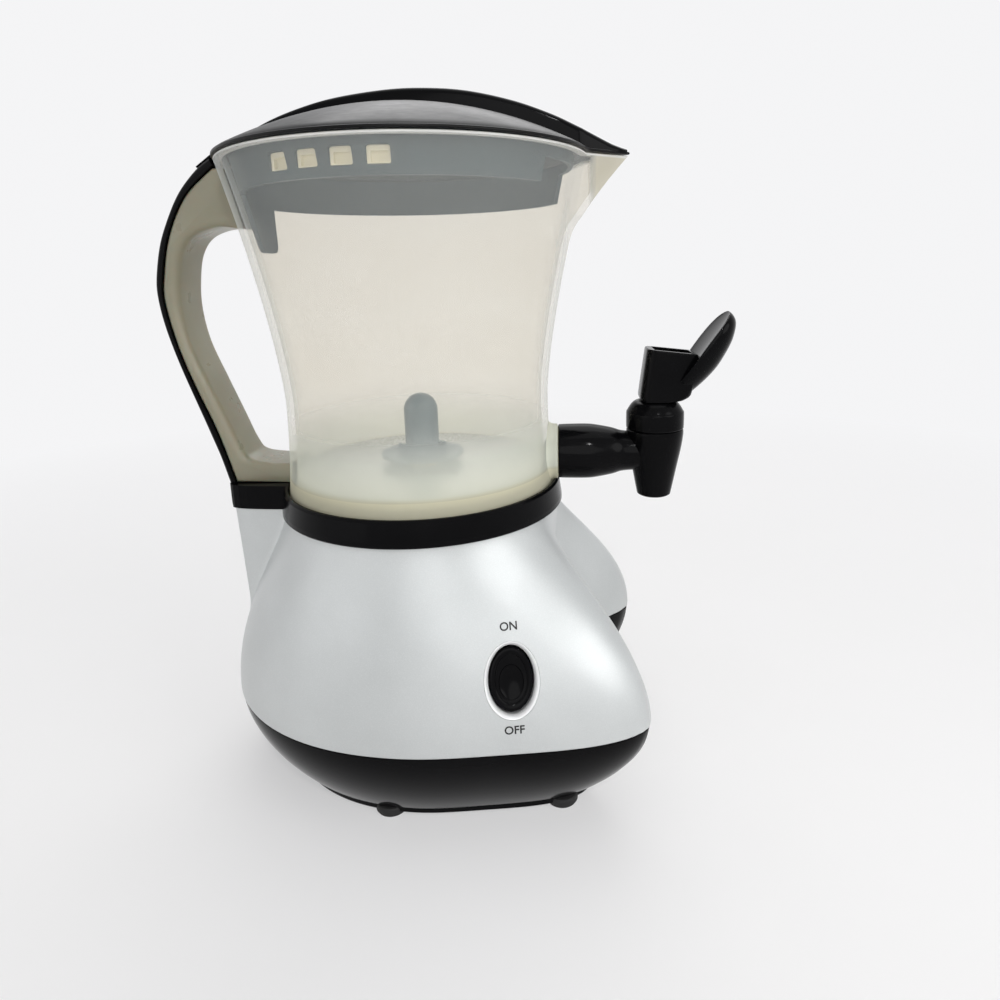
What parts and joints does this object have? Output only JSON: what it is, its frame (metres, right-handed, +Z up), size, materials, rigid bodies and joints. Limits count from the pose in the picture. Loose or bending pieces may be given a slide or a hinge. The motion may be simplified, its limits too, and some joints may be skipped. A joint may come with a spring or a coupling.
{
  "type": "hot chocolate maker",
  "caption": "Countertop hot chocolate maker: a milky waisted jug with a beaked lid, handle and lever tap on a two-lobed silver base with a rocker switch.",
  "frame": {"origin": "on the table, midway between the back of the handle and the tip of the tap's lever, in the object's plane of symmetry", "axes": "+X from the handle towards the tap, +Z up along the jug's axis"},
  "size_m": [0.2481, 0.1568, 0.2965],
  "materials": {
    "silver": "satin metallic paint",
    "silver_bright": "bright metallic paint",
    "black_gloss": "gloss",
    "black_matte": "fine matte",
    "dark_plastic": "matte",
    "milky": "translucent, milky",
    "cream": "satin, slightly translucent",
    "ivory": "matte",
    "rubber": "matte",
    "silicone": "satin",
    "steel": "brushed",
    "brass": "turned",
    "core": "laminated, wound",
    "magnet": "sintered",
    "board": "solder mask"
  },
  "bodies": {
    "base": {"rubber_feet": "rubber", "base_tray": "black_gloss", "bottom_pan": "black_matte", "base_screws": "steel", "cord_gland": "rubber", "base_housing": "silver", "switch_frame": "silver_bright", "switch_block": "ivory", "neck_collar": "black_gloss", "jug_body": "milky", "jug_handle": "cream", "handle_cover": "black_gloss", "heater_plate": "steel", "plate_seal": "silicone", "plate_clamp": "steel", "clamp_screws": "steel", "heating_element": "steel", "thermostat": "ivory", "thermal_fuse": "steel", "shaft_bush": "brass", "bush_nut": "brass", "shaft_seal": "rubber", "motor_can": "steel", "motor_magnets": "magnet", "motor_stand": "black_matte", "control_board": "board", "tap_body": "black_gloss", "tap_washer": "silicone", "tap_bonnet": "black_gloss"},
    "lid": {"lid_cover": "black_gloss", "lid_spine": "black_gloss", "lid_skirt": "black_matte", "lid_baffle": "ivory"},
    "froth_drive": {"froth_whisk": "dark_plastic", "drive_shaft": "steel", "shaft_coupling": "dark_plastic", "motor_rotor": "core"},
    "valve": {"tap_stem": "steel", "tap_seat_cup": "silicone"},
    "lever": {"tap_lever": "black_gloss", "lever_pin": "steel"},
    "rocker": {"switch_rocker": "black_gloss"}
  },
  "joints": [
    {"name": "lid_lift", "type": "slide", "parent": "base", "child": "lid", "axis": [0, 0, 1], "range_m": [0, 0.07]},
    {"name": "froth_spin", "type": "hinge", "parent": "base", "child": "froth_drive", "pos_m": [-0.0139, 0, 0.1], "axis": [0, 0, 1], "continuous": true},
    {"name": "valve_lift", "type": "slide", "parent": "base", "child": "valve", "axis": [0, 0, 1], "range_m": [0, 0.0056]},
    {"name": "lever_press", "type": "hinge", "parent": "valve", "child": "lever", "pos_m": [0.0913, 0, 0.1745], "axis": [0, 1, 0], "range_deg": [0, 35], "stiffness_Nm_per_rad": 0.2},
    {"name": "rocker_tilt", "type": "hinge", "parent": "base", "child": "rocker", "pos_m": [0.02884, -0.06296, 0.07007], "axis": [0.9813, 0.1927, 0], "range_deg": [-6, 6], "stiffness_Nm_per_rad": 0.05}
  ],
  "couplings": [
    {"joint": "valve_lift", "follows": "lever_press", "m_per_rad": 0.009}
  ]
}
